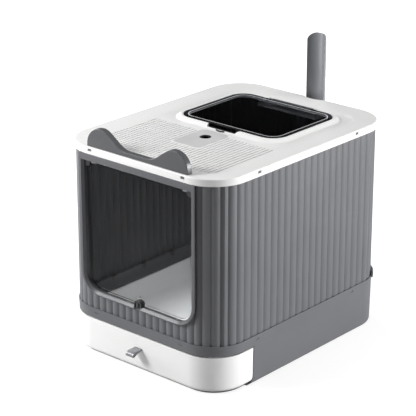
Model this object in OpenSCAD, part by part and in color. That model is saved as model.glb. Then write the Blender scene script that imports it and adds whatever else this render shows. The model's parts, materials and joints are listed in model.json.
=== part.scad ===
// Covered litter box with a pull-out drawer: the front faces -Y, the base stands on z = 0.

/* [Walls] */
// Width over the rib crests
body_w = 382; // [360:1:410]
// Depth over the rib crests
body_d = 500; // [480:1:530]
// Plan radius of the corners at the rib crests
corner_r = 69; // [64:1:74]
// Height of the ribbed walls that shows
wall_h = 302.6; // [280:0.1:330]
// Thickness of a wall panel
wall_t = 2.2; // [1.8:0.1:2.5]
// Depth of the grooves between the ribs
rib_h = 2.4; // [1.6:0.1:2.6]
// Rib pitch on the front and back panels
front_pitch = 16.7; // [14:0.1:20]
// Rib pitch on the side panels
side_pitch = 18.55; // [15:0.05:22]
// Corner angle at which the front and back panels end
seam_angle = 56.5; // [45:0.5:65]
// Gap between neighbouring panels
seam_gap = 0.6; // [0.3:0.1:1]

/* [Base] */
// Height of the base
base_h = 95; // [90:1:104]
// How far the base's top edge stands out past the rib crests
base_lip = 2; // [1.6:0.1:3]
// How far the base's sides lean in towards the floor
base_draft = 2; // [1:0.1:3]
// Thickness of the base's walls
base_t = 2.6; // [2:0.1:3]
// Thickness of the base's floor
floor_t = 3; // [2.4:0.1:4]
// Radius of the base's bottom edge
base_fillet = 5; // [4:0.5:7]
// Height of the band over the drawer
band_h = 20; // [18:0.5:23]
// How deep a wall panel reaches into the base
tongue_h = 15; // [12:0.5:15.5]
// Width of the ledge inside the walls
ledge_w = 6; // [5.5:0.5:8]
// Height of that ledge above the base's top edge
ledge_up = 5; // [3:0.5:8]
// How far the rear bead stands out past the base
bead_out = 3; // [2:0.5:5]

/* [Drawer] */
// Distance from the front of the body to the seam beside the drawer
drawer_wrap = 100; // [85:1:120]
// Gap round the drawer front
drawer_gap = 2.2; // [1.5:0.1:3]
// Radius of the drawer front's bottom edge
drawer_fillet = 8; // [6:0.5:9]
// Radius of the drawer front's lower rear corners
drawer_corner_r = 13; // [9:0.5:18]
// Wall of the drawer front and the litter pan
drawer_t = 2.5; // [2:0.1:3]
// Inside radius at the bottom of the litter pan
pan_fillet = 26; // [18:1:28]
// How far the pan's sides lean in, in degrees
pan_lean = 8; // [3:0.5:10]
// Width of the pull tongue
pull_w = 19; // [15:0.5:26]
// How far the pull tongue stands out
pull_l = 24.5; // [20:0.5:32]
// Height of the pull tongue's root
pull_z = 47; // [38:1:50]
// Thickness of the pull tongue's root
pull_t = 3; // [2.5:0.1:4]
// Height of the runners under the pan
runner_h = 3; // [2:0.5:4]

/* [Doorway] */
// Clear width of the doorway
door_w = 260; // [240:1:266]
// Height of the doorway's sill
door_z0 = 130.5; // [126:0.5:145]
// Height of the bezel's top bar
door_bar = 12.5; // [10:0.5:16]
// Inside radius of the doorway's lower corners
door_r = 34; // [24:1:40]
// Width of the bezel's face beside the doorway
bezel_w = 10; // [8:0.1:11]
// Width of the bezel's face under the doorway
sill_w = 6.2; // [5:0.1:8]
// How far the bezel stands out past the rib crests
bezel_out = 4; // [2.5:0.1:5]
// Depth of the bezel's sleeve
sleeve_l = 11.6; // [10.5:0.1:12]
// Wall of the bezel's sleeve
sleeve_t = 2.5; // [2:0.1:3]
// Clearance round the swing flap
flap_gap = 3; // [2:0.1:4]
// Thickness of the swing flap
flap_t = 2.5; // [2:0.1:2.8]
// Width of the hinge brackets in the doorway's top corners
bracket_w = 12; // [10:0.5:15]
// Diameter of the flap's hinge pins
flap_pin_d = 4; // [3:0.1:4.6]
// Diameter of the latch knob
knob_d = 18.5; // [16:0.5:20]
// Diameter of the latch spindle
spindle_d = 5.6; // [5:0.1:6.4]

/* [Top cover] */
// Height of the cover's rim
lid_h = 13.7; // [12:0.1:18]
// How far the rim stands out past the rib crests
lid_over = 2.4; // [1.8:0.1:3.4]
// Thickness of the cover's plates
lid_t = 3; // [2.6:0.1:3.4]
// Radius of the rim's top edge
lid_fillet = 2.5; // [1.5:0.1:3]
// Depth of the recessed field
field_drop = 3; // [2:0.1:3.4]
// Width of the recessed field
field_w = 293; // [291:1:300]
// Width of the slope round the recessed field
field_slope = 14; // [6:1:15]
// Width of the top opening
hatch_w = 244; // [220:1:250]
// Depth of the top opening
hatch_l = 195; // [180:1:198]
// Distance from the body's centre back to the top opening's centre
hatch_y = 86.5; // [84:0.5:88]
// Plan radius of the top opening's corners
hatch_r = 34; // [28:1:40]
// Height of the lip round the top opening above the recessed field
lip_h = 5.9; // [5:0.1:7]
// Width of that lip with its slope
lip_w = 15; // [12:0.5:16]
// Clearance round the hatch
hatch_gap = 1.2; // [1:0.1:1.6]
// Thickness of the hatch
hatch_t = 2.5; // [2:0.1:2.8]
// Width of the hatch's flat border
hatch_border = 11.5; // [9:0.5:16]
// Width of the hinge pocket behind the hatch
pocket_w = 130; // [100:1:150]
// Diameter of the hatch's hinge pin
hatch_pin_d = 4; // [3:0.1:4.6]
// Pitch of the grooves in front of the hatch
groove_pitch = 8.56; // [7:0.02:8.6]
// Width of a groove
groove_w = 2.4; // [1.6:0.1:3.6]
// Depth of a groove
groove_d = 1.2; // [0.5:0.1:1.6]
// Number of grooves
groove_n = 34; // [20:2:34]

/* [Trim and deodoriser] */
// Width of the ear trim
ear_w = 244; // [230:1:250]
// Height of an ear
ear_h = 37.5; // [32:0.1:44]
// Height of the trim between the ears
ear_bar = 8.2; // [6:0.1:12]
// Thickness of the ear trim
ear_t = 12; // [10:0.5:13]
// Width of the deodoriser insert
deo_w = 66; // [58:1:70]
// Length of the deodoriser insert
deo_l = 90; // [80:1:92]
// Corner radius of the insert
deo_r = 12; // [8:0.5:14]
// Diameter of the insert's hole
deo_hole_d = 22; // [16:0.5:26]
// Depth of the deodoriser tray
deo_deep = 20; // [16:0.5:26]

/* [Scoop] */
// How far the scoop stands right of the middle
scoop_x = 6.5; // [-12:0.5:12]
// Width of the scoop's handle
grip_w = 43; // [38:0.5:45]
// Outside radius of the handle's channel
grip_r = 28; // [26:0.5:32]
// Wall of the scoop
scoop_t = 3; // [2.4:0.1:3.4]
// How far the handle stands above the cover
grip_up = 127.5; // [100:0.5:140]
// Width of the scoop's head
head_w = 100; // [80:1:110]
// Length of the scoop's head
head_l = 130; // [110:1:132]
// Depth of the scoop's head
head_deep = 26; // [20:1:30]
// Height of the holder's pocket
holder_h = 82; // [60:1:90]
// Wall of the holder
holder_t = 2.5; // [2:0.1:3]
// Diameter of the holder's pegs
peg_d = 6; // [5:0.5:7]

/* [Clearances] */
// Gap between a piece and the seat that it rests on
seat_gap = 0.3; // [0.2:0.05:0.35]
// Gap round a piece that slides or drops in
slide_gap = 0.4; // [0.35:0.05:0.6]
// Radial clearance of a pin that turns in its hole
pin_gap = 0.07; // [0.03:0.01:0.1]

/* [Hidden] */
$fn = 64;

wall_grey = "#7d7f83";
inner_grey = "#5c5e62";
cover_white = "#eeeeec";
insert_grey = "#c4c5c7";
carbon_black = "#222222";
steel_grey = "#a8aaad";
clear_tint = [0.75, 0.8, 0.85, 0.4];
cut = 0.01;
over = 1;

half_w = body_w / 2;
half_d = body_d / 2;
plan = [body_w, body_d, corner_r];

// Distances along the wall's plan, from the middle of the front
run_front = half_w - corner_r;
run_corner = run_front + corner_r * PI / 2;
run_side = run_corner + body_d - 2 * corner_r;
front_reach = run_front + corner_r * seam_angle * PI / 180;
side_middle = (run_corner + run_side) / 2;
side_reach = side_middle - front_reach - seam_gap;
rib_steps = 6;

// Heights
wall_top = base_h + wall_h;
lid_top = wall_top + lid_h;
lid_under = lid_top - lid_t;
field_z = lid_top - field_drop;
field_under = field_z - lid_t;
lip_z = field_z + lip_h;
band_z = base_h - band_h;
channel_z = base_h - tongue_h;
ledge_z = base_h + ledge_up;
ledge_t = 2.4;
skirt_z = band_z - 3;
crease_z = base_h - 9;
crease = 0.35;

// Offsets from the rib crests, outwards
ledge_out = -rib_h - wall_t - seat_gap;
ledge_in = ledge_out - ledge_w;
skirt_t = 2.2;
floor_out = base_out(base_fillet) - base_fillet;
floor_lap = 4;
floor_front = 10;
base_y = drawer_wrap - half_d;

// Drawer
pan_in = ledge_out - drawer_t - 1.5;
pan_top = skirt_z - 2;
pan_z0 = floor_t + runner_h + seat_gap;
pan_floor = pan_z0 + drawer_t;
flange_out = -1.8;
drawer_top = band_z - drawer_gap;
drawer_z0 = floor_t + 1;
drawer_y = base_y - drawer_gap;
drawer_floor_out = base_out(drawer_z0 + drawer_fillet) - drawer_fillet;
shelf_z = pan_top - drawer_t - seat_gap;
runner_w = 8;
runner_x = body_w * 0.28;
runner_l = body_d * 0.8;
pull_face = -half_d - base_out(pull_z);
pull_r = 8.5;
pull_tip = 5;
pull_lip = 9.5;
pull_rear = pull_face + drawer_t + seat_gap;

// Snaps between the walls, the base and the cover
snap_side_y = 141;
snap_front_x = 112.5;
snap_base_x = 105;
snap_w = 9;
snap_cover_h = 5;
snap_cover_z = lid_under - snap_cover_h;
snap_base_h = 2.6;
snap_base_z = base_h - 10;
snap_play = 0.6;
snap_root = rib_h;

// Doorway
door_z1 = wall_top - door_bar;
bezel_y = -half_d - bezel_out;
sleeve_y = bezel_y + sleeve_l;
bezel_slope = 4.5;
flap_y = sleeve_y - 1.6;
flap_w = door_w - 2 * flap_gap;
flap_z0 = door_z0 + flap_gap;
flap_axis = [flap_y + flap_t / 2, door_z1 - 6];
flap_z1 = flap_axis.y + 4.8;
flap_barrel_d = flap_pin_d + 2.6;
bracket_h = 13;
bracket_x = door_w / 2 - bracket_w;
bracket_reach = 4.6;
notch_x = bracket_x - 1.5;
notch_z = flap_axis.y - 10;
pin_deep = 11;
latch_z = door_z0 + 2;
knob_y = bezel_y + 2;
boss_y = -half_d - ledge_out;
boss_t = 4.4;
knob_rear = boss_y - seat_gap;
cam_y = boss_y + boss_t + seat_gap;
cam_t = 3;
cam_l = 19;
screw_d = 2.6;
pocket_gap = 0.8;
knob_notch = 4.2;
hook_inset = 60;

// Top opening
hatch_plan = [hatch_w, hatch_l, hatch_r];
hatch_seat = 2;
hatch_z = lip_z - hatch_t;
seat_z = hatch_z - seat_gap;
hatch_front = hatch_y - hatch_l / 2;
hatch_rear = hatch_y + hatch_l / 2;
hinge_y = hatch_rear + 10;
hinge_z = field_under + 0.7;
hinge_d = 8;
hinge_l = pocket_w - 14;
pocket_z = field_z - 8.3;
pocket_y0 = hatch_rear - 9;
pocket_y1 = hatch_rear + 19;
tub_t = 2.5;
tub_side = 6;
recess_w = 80;
recess_l = 10;
recess_z = field_z - 6.3;
catch_y = hatch_front - recess_l - 5.5;
catch_x = 10;
catch_w = 1.8;
field_front = 35;
field_rear = 51;
field_l = body_d - field_front - field_rear;
field_y = (field_front - field_rear) / 2;
field_plan = [field_w, field_l, 34];
groove_y0 = -half_d + 41;
groove_y1 = hatch_front - lip_w - 16;

// Deodoriser, ear trim and scoop
deo_y = hatch_front - 20 - deo_l / 2;
deo_hole_y = hatch_front - 53;
tray_lap = 4;
tray_t = 2.2;
vent_pitch = 9;
vent_l = deo_w * 0.55;
ear_y = -half_d + 1;
ear_side = 4.5;
ear_valley_r = 43;
ear_lean = 34.6;
ear_leg_x = 70;
ear_leg = [8, 3, 8];
grip_y = half_d - 9.5;
notch_half = 26;
notch_deep = 9;
notch_r = (notch_half * notch_half + notch_deep * notch_deep) / (2 * notch_deep);
holder_y = half_d + seat_gap;
holder_z = wall_top - head_l - 6.5;
holder_gap = 1.2;
head_y = holder_y + holder_t + holder_gap;
head_z = holder_z + holder_t + seat_gap;
head_r = 14;
peg_x = 2 * front_pitch;
peg_z = holder_z + holder_h - 20;

// Offset of the base's and the drawer's outer face at height z
function base_out(z) = base_lip - base_draft * (base_h - z) / base_h;

// Offset of a convex rib's face, 0 at its crest and -rib_h in its grooves, at u from a groove
function rib_radius(pitch) = (pitch * pitch / 4 + rib_h * rib_h) / (2 * rib_h);
function rib_at(u, pitch) =
    let (r = rib_radius(pitch), x = u - pitch * floor(u / pitch) - pitch / 2)
    sqrt(r * r - x * x) - r;

// Plan point at distance s along the wall, moved out by h
function right_point(s, h) =
    s < run_front ? [s, -half_d - h] :
    s < run_corner ? let (a = (s - run_front) / corner_r * 180 / PI)
        [run_front + (corner_r + h) * sin(a), corner_r - half_d - (corner_r + h) * cos(a)] :
    s < run_side ? [half_w + h, corner_r - half_d + s - run_corner] :
    let (a = (s - run_side) / corner_r * 180 / PI)
    [run_front + (corner_r + h) * cos(a), half_d - corner_r + (corner_r + h) * sin(a)];
function wall_point(s, h) =
    let (p = right_point(abs(s), h))
    [s < 0 ? -p.x : p.x, p.y];

// Places along a sheet of ribs that has a groove at groove_s
function rib_places(from, to, groove_s, pitch) =
    let (
        step = pitch / rib_steps,
        first = ceil((from - groove_s) / step + 0.1),
        last = floor((to - groove_s) / step - 0.1)
    )
    concat([from], [for (i = [first:last]) groove_s + i * step], [to]);

function arc_points(centre, r, from, to, steps = 8) = [
    for (i = [0:steps])
    let (a = from + (to - from) * i / steps)
    centre + r * [cos(a), sin(a)]
];

module plan_rect(size, r) {
    square([size.x - 2 * r, size.y], center = true);
    square([size.x, size.y - 2 * r], center = true);
    for (sx = [-1, 1], sy = [-1, 1])
        translate([sx * (size.x / 2 - r), sy * (size.y / 2 - r)])
            circle(r);
}

// A plate with the plan of a rounded rectangle, grown by out
module plan_plate(plan, out, from, to) {
    translate([0, 0, from])
        linear_extrude(to - from)
            plan_rect([plan.x + 2 * out, plan.y + 2 * out], plan.z + out);
}

// A section swept along one straight side of a plan; the section's x is 0 on the plan's outline
module sweep_side(plan, i, from, to) {
    out = (i % 2 == 0 ? plan.x : plan.y) / 2;
    rotate([0, 0, 90 * i])
        translate([out, to, 0])
            rotate([90, 0, 0])
                linear_extrude(to - from)
                    children();
}

module sweep_corner(plan, i, angle = 90) {
    half = i % 2 == 0 ? [plan.x, plan.y] / 2 : [plan.y, plan.x] / 2;
    rotate([0, 0, 90 * i])
        translate([half.x - plan.z, half.y - plan.z, 0])
            rotate_extrude(angle = angle)
                translate([plan.z, 0])
                    children();
}

module sweep_round(plan) {
    for (i = [0:3]) {
        along = (i % 2 == 0 ? plan.y : plan.x) / 2 - plan.z;
        sweep_side(plan, i, -along, along)
            children();
        sweep_corner(plan, i)
            children();
    }
}

// A drawing in x and z that fills the space between two places along y
module upright(from, to) {
    translate([0, to, 0])
        rotate([90, 0, 0])
            linear_extrude(to - from)
                children();
}

module rod_x(d, from, to) {
    translate([from, 0, 0])
        rotate([0, 90, 0])
            cylinder(d = d, h = to - from);
}

module rod_y(d, from, to) {
    translate([0, to, 0])
        rotate([90, 0, 0])
            cylinder(d = d, h = to - from);
}

// The turn between a floor and a side that leans in: its outer line, and its inner line
function turn_out(centre, r, lean = 0) =
    concat([[centre.x - floor_lap, centre.y - r]], arc_points(centre, r, -90, -lean));
function turn_in(centre, r, lean = 0) =
    concat(arc_points(centre, r, -lean, -90), [[centre.x - floor_lap, centre.y - r]]);

// Base

base_turn = [floor_out, base_fillet];

function band_face() = [
    [base_out(crease_z) - crease, crease_z - crease],
    [base_out(crease_z), crease_z],
    [base_lip, base_h],
    [seat_gap, base_h],
    [seat_gap, channel_z],
    [ledge_out, channel_z],
    [ledge_out, ledge_z],
    [ledge_in, ledge_z],
    [ledge_in, skirt_z],
    [ledge_in + skirt_t, skirt_z],
    [ledge_in + skirt_t, ledge_z - ledge_t],
    [ledge_out - ledge_t, ledge_z - ledge_t],
    [ledge_out - ledge_t, channel_z - ledge_t],
    [base_out(band_z) - base_t, channel_z - ledge_t]
];

module band_section() {
    polygon(concat(
        [[base_out(band_z), band_z]], band_face(), [[base_out(band_z) - base_t, band_z]]
    ));
}

module base_section() {
    polygon(concat(
        turn_out(base_turn, base_fillet), band_face(), turn_in(base_turn, base_fillet - base_t)
    ));
}

module toe_section() {
    top = drawer_z0 + drawer_corner_r - 2;
    polygon(concat(
        turn_out(base_turn, base_fillet),
        [[base_out(top), top], [base_out(top) - base_t, top]],
        turn_in(base_turn, base_fillet - base_t)
    ));
}

module bead_section() {
    out = base_lip + bead_out;
    low = base_h - 5;
    high = base_h + 8;
    polygon([
        [over, low], [out - 1, low], [out, low + 1], [out, high - 1], [out - 1, high], [over, high]
    ]);
}

module base_toe() {
    r = drawer_corner_r + drawer_gap;
    front = drawer_y - drawer_corner_r;
    difference() {
        sweep_side(plan, 0, front, base_y)
            toe_section();
        translate([0, front, drawer_z0 + drawer_corner_r])
            rod_x(2 * r, half_w - 3 * base_fillet, half_w + 3 * base_fillet);
    }
}

module base_walls() {
    along_y = half_d - corner_r;
    along_x = half_w - corner_r;
    sweep_side(plan, 3, -along_x, along_x)
        band_section();
    for (i = [2, 3])
        sweep_corner(plan, i)
            band_section();
    sweep_side(plan, 0, -along_y, base_y)
        band_section();
    sweep_side(plan, 2, -base_y, along_y)
        band_section();
    sweep_side(plan, 0, base_y, along_y)
        base_section();
    sweep_side(plan, 2, -along_y, -base_y)
        base_section();
    for (i = [0, 1])
        sweep_corner(plan, i)
            base_section();
    sweep_side(plan, 1, -along_x, along_x)
        base_section();
}

module base_bead() {
    along_x = half_w - corner_r;
    sweep_side(plan, 1, -along_x, along_x)
        bead_section();
    for (side = [0, 1])
        mirror([side, 0, 0])
            sweep_corner(plan, 1, 60)
                bead_section();
}

module base_floor() {
    out = floor_out - floor_lap + over;
    translate([0, (out + floor_front) / 2, 0])
        linear_extrude(floor_t)
            plan_rect([body_w + 2 * out, body_d + out - floor_front], corner_r - floor_front);
}

module base_frame() {
    color(wall_grey)
        difference() {
            union() {
                base_walls();
                base_floor();
                base_toe();
                mirror([1, 0, 0])
                    base_toe();
                base_bead();
            }
            snap_cuts(snap_base_x, snap_base_z, snap_base_h, seat_gap);
        }
}

module drawer_runners() {
    color(inner_grey)
        for (sx = [-1, 1])
            translate([sx * runner_x - runner_w / 2, -runner_l / 2, floor_t])
                cube([runner_w, runner_l, runner_h]);
}

module wall_clips() {
    clip_l = 10;
    clip_t = 2;
    clip_h = 8;
    spots = [-124.5, -41.5, 41.5, 124.5];
    color(inner_grey)
        for (sx = [-1, 1], y = spots)
            scale([sx, 1, 1])
                translate([half_w, y - clip_l / 2, 0]) {
                    translate([ledge_in - seat_gap - clip_t, 0, ledge_z - clip_h])
                        cube([clip_t, clip_l, clip_h + clip_t]);
                    translate([ledge_in - seat_gap - clip_t, 0, ledge_z])
                        cube([ledge_w + clip_t, clip_l, clip_t]);
                }
}

// Snap windows in the skins, and the teeth of the panels in them; x on the front and back, y on the sides
module snap_spots(front_x, sides) {
    for (i = sides, along = i % 2 == 0 ? [-snap_side_y, snap_side_y] : [-front_x, front_x])
        rotate([0, 0, 90 * i])
            translate([i % 2 == 0 ? half_w : half_d, along, 0])
                children();
}

module snap_cuts(front_x, z, h, in) {
    snap_spots(front_x, [0:3])
        translate([in - cut, -snap_w / 2, z])
            cube([2 * lid_over + base_lip, snap_w, h]);
}

module snap_teeth(sides) {
    snap_spots(snap_front_x, sides)
        snap_tooth(snap_cover_z, snap_cover_h, lid_over - over);
    snap_spots(snap_base_x, sides)
        snap_tooth(snap_base_z, snap_base_h, over);
}

module snap_tooth(z, h, out) {
    translate([-snap_root, snap_play - snap_w / 2, z + snap_play])
        cube([snap_root + out, snap_w - 2 * snap_play, h - 2 * snap_play]);
}

// Walls

module ribbed_sheet(from, to, groove_s, pitch) {
    places = rib_places(from, to, groove_s, pitch);
    outer = [for (s = places) wall_point(s, rib_at(s - groove_s, pitch))];
    inner = [for (s = places) wall_point(s, rib_at(s - groove_s, pitch) - wall_t)];
    count = len(places);
    translate([0, 0, channel_z])
        linear_extrude(lid_under - seat_gap - channel_z)
            polygon(concat(outer, [for (i = [1:count]) inner[count - i]]));
}

module front_panel() {
    lap = sleeve_t + seat_gap;
    color(wall_grey)
        difference() {
            union() {
                ribbed_sheet(-front_reach, front_reach, 0, front_pitch);
                snap_teeth([3]);
            }
            upright(-half_d - over, -half_d + 10)
                door_outline(door_w + 2 * lap, door_z0 - lap, door_z1 + lap, door_r + lap);
            knob_pocket(seat_gap);
        }
}

module back_panel() {
    color(wall_grey)
        difference() {
            union() {
                mirror([0, 1, 0])
                    ribbed_sheet(-front_reach, front_reach, 0, front_pitch);
                snap_teeth([1]);
            }
            for (sx = [-1, 1])
                translate([scoop_x + sx * peg_x, 0, peg_z])
                    rod_y(peg_d + 2 * slide_gap, half_d - 10, half_d + over);
        }
}

module right_panel() {
    color(wall_grey)
        union() {
            ribbed_sheet(
                side_middle - side_reach, side_middle + side_reach,
                side_middle - side_pitch / 2, side_pitch
            );
            snap_teeth([0]);
        }
}

module left_panel() {
    mirror([1, 0, 0])
        right_panel();
}

// Doorway

module door_outline(w, z0, z1, r) {
    translate([-w / 2, z0 + r])
        square([w, z1 - z0 - r]);
    translate([r - w / 2, z0])
        square([w - 2 * r, 2 * r]);
    for (sx = [-1, 1])
        translate([sx * (w / 2 - r), z0 + r])
            circle(r);
}

// The doorway as a plan that lies in x and z
module in_doorway(z1) {
    translate([0, 0, (door_z0 + z1) / 2])
        rotate([90, 0, 0])
            children();
}

module slope_section() {
    polygon([
        [-over, -bezel_y + over],
        [bezel_slope, -bezel_y + over],
        [bezel_slope, -bezel_y],
        [0, -bezel_y - bezel_slope],
        [-over, -bezel_y - bezel_slope]
    ]);
}

module bezel_slopes() {
    door_plan = [door_w, door_z1 - door_z0, door_r];
    along_x = door_w / 2 - door_r;
    low = door_r - door_plan.y / 2;
    in_doorway(door_z1) {
        sweep_side(door_plan, 0, low, door_plan.y / 2)
            slope_section();
        sweep_side(door_plan, 2, -door_plan.y / 2, -low)
            slope_section();
        sweep_side(door_plan, 3, -along_x, along_x)
            slope_section();
        for (i = [2, 3])
            sweep_corner(door_plan, i)
                slope_section();
    }
}

module knob_pocket(extra) {
    translate([0, 0, latch_z])
        rod_y(knob_d + 2 * (pocket_gap + extra), bezel_y - over, knob_rear + cut);
}

module door_bezel() {
    hook = 1.5;
    hook_x = door_w / 2 + sleeve_t;
    turn_r = corner_r + ledge_out;
    turn_x = max(hook_x + hook - body_w / 2 + corner_r, 0);
    hook_y = boss_y + turn_r - sqrt(turn_r * turn_r - turn_x * turn_x);
    color(wall_grey)
        difference() {
            union() {
                difference() {
                    union() {
                        upright(bezel_y, -half_d - seat_gap)
                            door_outline(
                                door_w + 2 * bezel_w, door_z0 - sill_w, wall_top - seat_gap,
                                door_r + bezel_w
                            );
                        upright(bezel_y, sleeve_y)
                            door_outline(
                                door_w + 2 * sleeve_t, door_z0 - sleeve_t, door_z1 + sleeve_t,
                                door_r + sleeve_t
                            );
                    }
                    upright(bezel_y - over, sleeve_y + over)
                        door_outline(door_w, door_z0, door_z1, door_r);
                    bezel_slopes();
                    knob_pocket(0);
                }
                for (sx = [-1, 1], z = [door_z0 + hook_inset, door_z1 - hook_inset])
                    translate([sx * hook_x, (hook_y + sleeve_y) / 2, z])
                        cube([2 * hook, sleeve_y - hook_y, 4 * hook], center = true);
                translate([0, 0, latch_z])
                    rod_y(knob_d - over, boss_y, boss_y + boss_t);
            }
            translate([0, 0, latch_z])
                rod_y(spindle_d + 2 * pin_gap, boss_y - over, boss_y + boss_t + over);
        }
}

module flap_brackets() {
    foot = 4;
    blind = 1.2;
    color(inner_grey)
        for (side = [0, 1])
            mirror([side, 0, 0])
                difference() {
                    upright(flap_axis.x - bracket_reach, flap_axis.x + bracket_reach - over)
                        polygon([
                            [bracket_x, door_z1],
                            [door_w / 2, door_z1],
                            [door_w / 2, door_z1 - bracket_h],
                            [bracket_x + foot, door_z1 - bracket_h],
                            [bracket_x, door_z1 - bracket_h + foot / 2]
                        ]);
                    translate([0, flap_axis.x, flap_axis.y])
                        rod_x(flap_pin_d + 2 * pin_gap, bracket_x - over, door_w / 2 - blind);
                }
}

module flap_shape(inset) {
    difference() {
        door_outline(
            flap_w - 2 * inset, flap_z0 + inset, flap_z1 - inset, door_r - flap_gap - inset
        );
        for (sx = [-1, 1])
            translate([sx * (notch_x - inset + body_w / 2), notch_z - inset + body_w / 2])
                square(body_w, center = true);
        translate([0, latch_z])
            circle(knob_d / 2 + knob_notch + inset);
    }
}

module flap_panel() {
    bead = 0.6;
    color(clear_tint)
        difference() {
            union() {
                upright(flap_y, flap_y + flap_t)
                    flap_shape(0);
                upright(flap_y - bead, flap_y + over)
                    difference() {
                        flap_shape(2.8);
                        flap_shape(4);
                    }
                translate([0, flap_axis.x, flap_axis.y])
                    rod_x(flap_barrel_d, -notch_x, notch_x);
            }
            for (side = [0, 1])
                mirror([side, 0, 0])
                    translate([0, flap_axis.x, flap_axis.y])
                        rod_x(flap_pin_d + pin_gap, notch_x - pin_deep, notch_x + over);
        }
}

module flap_pins() {
    color(steel_grey)
        for (side = [0, 1])
            mirror([side, 0, 0])
                translate([0, flap_axis.x, flap_axis.y])
                    rod_x(flap_pin_d, notch_x - pin_deep + seat_gap, door_w / 2 - 1.6);
}

module latch_knob() {
    ring_out = knob_d / 2 - 1.6;
    ring_in = 2.6;
    ring_deep = 4.4;
    grip = [2.4, knob_d * 0.5];
    color(wall_grey)
        translate([0, 0, latch_z])
            difference() {
                union() {
                    difference() {
                        rod_y(knob_d, knob_y, knob_rear);
                        rod_y(2 * ring_out, knob_y - over, knob_y + ring_deep);
                    }
                    rod_y(2 * ring_in, knob_y + 1, knob_rear);
                    upright(knob_y - 0.8, knob_rear)
                        square(grip, center = true);
                    rod_y(spindle_d, knob_rear - over, cam_y - seat_gap);
                }
                rod_y(screw_d + pin_gap, knob_rear - 2, cam_y);
            }
}

module latch_cam() {
    tip = 5;
    color(inner_grey)
        translate([0, 0, latch_z])
            upright(cam_y, cam_y + cam_t)
                difference() {
                    union() {
                        circle(spindle_d / 2 + 3.4);
                        translate([-tip, -cam_l])
                            square([2 * tip, cam_l]);
                        translate([0, -cam_l])
                            circle(tip);
                    }
                    circle(d = screw_d + pin_gap);
                }
}

module latch_screw() {
    head_d = 6.4;
    head_t = 1.8;
    color(steel_grey)
        translate([0, 0, latch_z]) {
            rod_y(screw_d, knob_rear - 1.6, cam_y + cam_t + seat_gap + cut);
            rod_y(head_d, cam_y + cam_t + seat_gap, cam_y + cam_t + seat_gap + head_t);
        }
}

// Drawer

drawer_turn = [drawer_floor_out, drawer_z0 + drawer_fillet];

module drawer_section() {
    shelf_in = pan_in + drawer_t + seat_gap;
    low = shelf_z - drawer_t;
    polygon(concat(
        turn_out(drawer_turn, drawer_fillet),
        [
            [base_out(drawer_top), drawer_top],
            [base_out(drawer_top) - drawer_t, drawer_top],
            [base_out(shelf_z) - drawer_t, shelf_z],
            [shelf_in, shelf_z],
            [shelf_in, low],
            [base_out(low) - drawer_t, low]
        ],
        turn_in(drawer_turn, drawer_fillet - drawer_t)
    ));
}

module drawer_front() {
    soft = 0.05;
    along_x = half_w - corner_r;
    along_y = half_d - corner_r;
    color(cover_white)
        difference() {
            union() {
                sweep_side(plan, 3, -along_x, along_x)
                    drawer_section();
                for (i = [2, 3])
                    sweep_corner(plan, i)
                        drawer_section();
                sweep_side(plan, 0, -along_y, drawer_y)
                    drawer_section();
                sweep_side(plan, 2, -drawer_y, along_y)
                    drawer_section();
            }
            translate([0, drawer_y - drawer_corner_r, drawer_z0 + drawer_corner_r])
                difference() {
                    translate([-body_w, 0, -drawer_corner_r - over])
                        cube([2 * body_w, drawer_corner_r + over, drawer_corner_r + over]);
                    rod_x(2 * (drawer_corner_r + soft), -body_w - over, body_w + over);
                }
            translate([
                -pull_w / 2 - slide_gap, -half_d - base_lip - over, pull_z - pull_t - slide_gap
            ])
                cube([pull_w + 2 * slide_gap, base_fillet + drawer_t, pull_t + 2 * slide_gap]);
        }
}

// Centre of the arc between the pan's side and its floor
pan_slant = (pan_top - pan_floor - pan_fillet * (1 - sin(pan_lean))) / cos(pan_lean);
pan_arc = [
    pan_in - pan_slant * sin(pan_lean) - pan_fillet * cos(pan_lean),
    pan_floor + pan_fillet
];

module pan_section() {
    flange_z = pan_top - drawer_t;
    side = pan_in + drawer_t / cos(pan_lean);
    polygon(concat(
        turn_out(pan_arc, pan_fillet + drawer_t, pan_lean),
        [
            [side - drawer_t * tan(pan_lean), flange_z],
            [flange_out, flange_z],
            [flange_out, pan_top],
            [pan_in, pan_top]
        ],
        turn_in(pan_arc, pan_fillet, pan_lean)
    ));
}

module drawer_pan() {
    color(cover_white)
        union() {
            sweep_round(plan)
                pan_section();
            plan_plate(plan, pan_arc.x - floor_lap + over, pan_z0, pan_floor);
        }
}

// Side view of the tongue: the round nose first, then the hollow under it
module drawer_pull() {
    steps = 8;
    upper = arc_points(
        [pull_face - pull_l + pull_r, pull_z - pull_r], pull_r, 90, 180
    );
    lower = [
        for (i = [steps:-1:0])
            [
                pull_face - (pull_l - pull_tip) * i / steps,
                pull_z - pull_t - (pull_lip - pull_t) * i * i / steps / steps
            ]
    ];
    color(wall_grey)
        union() {
            translate([-pull_w / 2, 0, 0])
                rotate([90, 0, 90])
                    linear_extrude(pull_w)
                        polygon(concat(
                            [[pull_rear + over, pull_z - pull_t], [pull_rear + over, pull_z]],
                            upper, lower
                        ));
            translate([-pull_w / 2 - 2, pull_rear, pull_z - pull_t - 2])
                cube([pull_w + 4, 1.6, pull_t + 4]);
        }
}

// Top cover

module rim_section() {
    polygon([
        [seat_gap, wall_top],
        [lid_over, wall_top],
        [lid_over, lid_top - lid_fillet],
        [lid_over - lid_fillet, lid_top],
        [2 * ledge_out, lid_top],
        [2 * ledge_out, lid_under],
        [seat_gap, lid_under]
    ]);
    translate([lid_over - lid_fillet, lid_top - lid_fillet])
        intersection() {
            circle(lid_fillet);
            square(lid_fillet);
        }
    translate([ledge_out - ledge_t, wall_top + 3])
        square([ledge_t, lid_under - wall_top - 2]);
}

module field_section() {
    polygon([
        [-over, field_z],
        [0, field_z],
        [field_slope, lid_top],
        [field_slope, lid_top + over],
        [-over, lid_top + over]
    ]);
}

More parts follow.
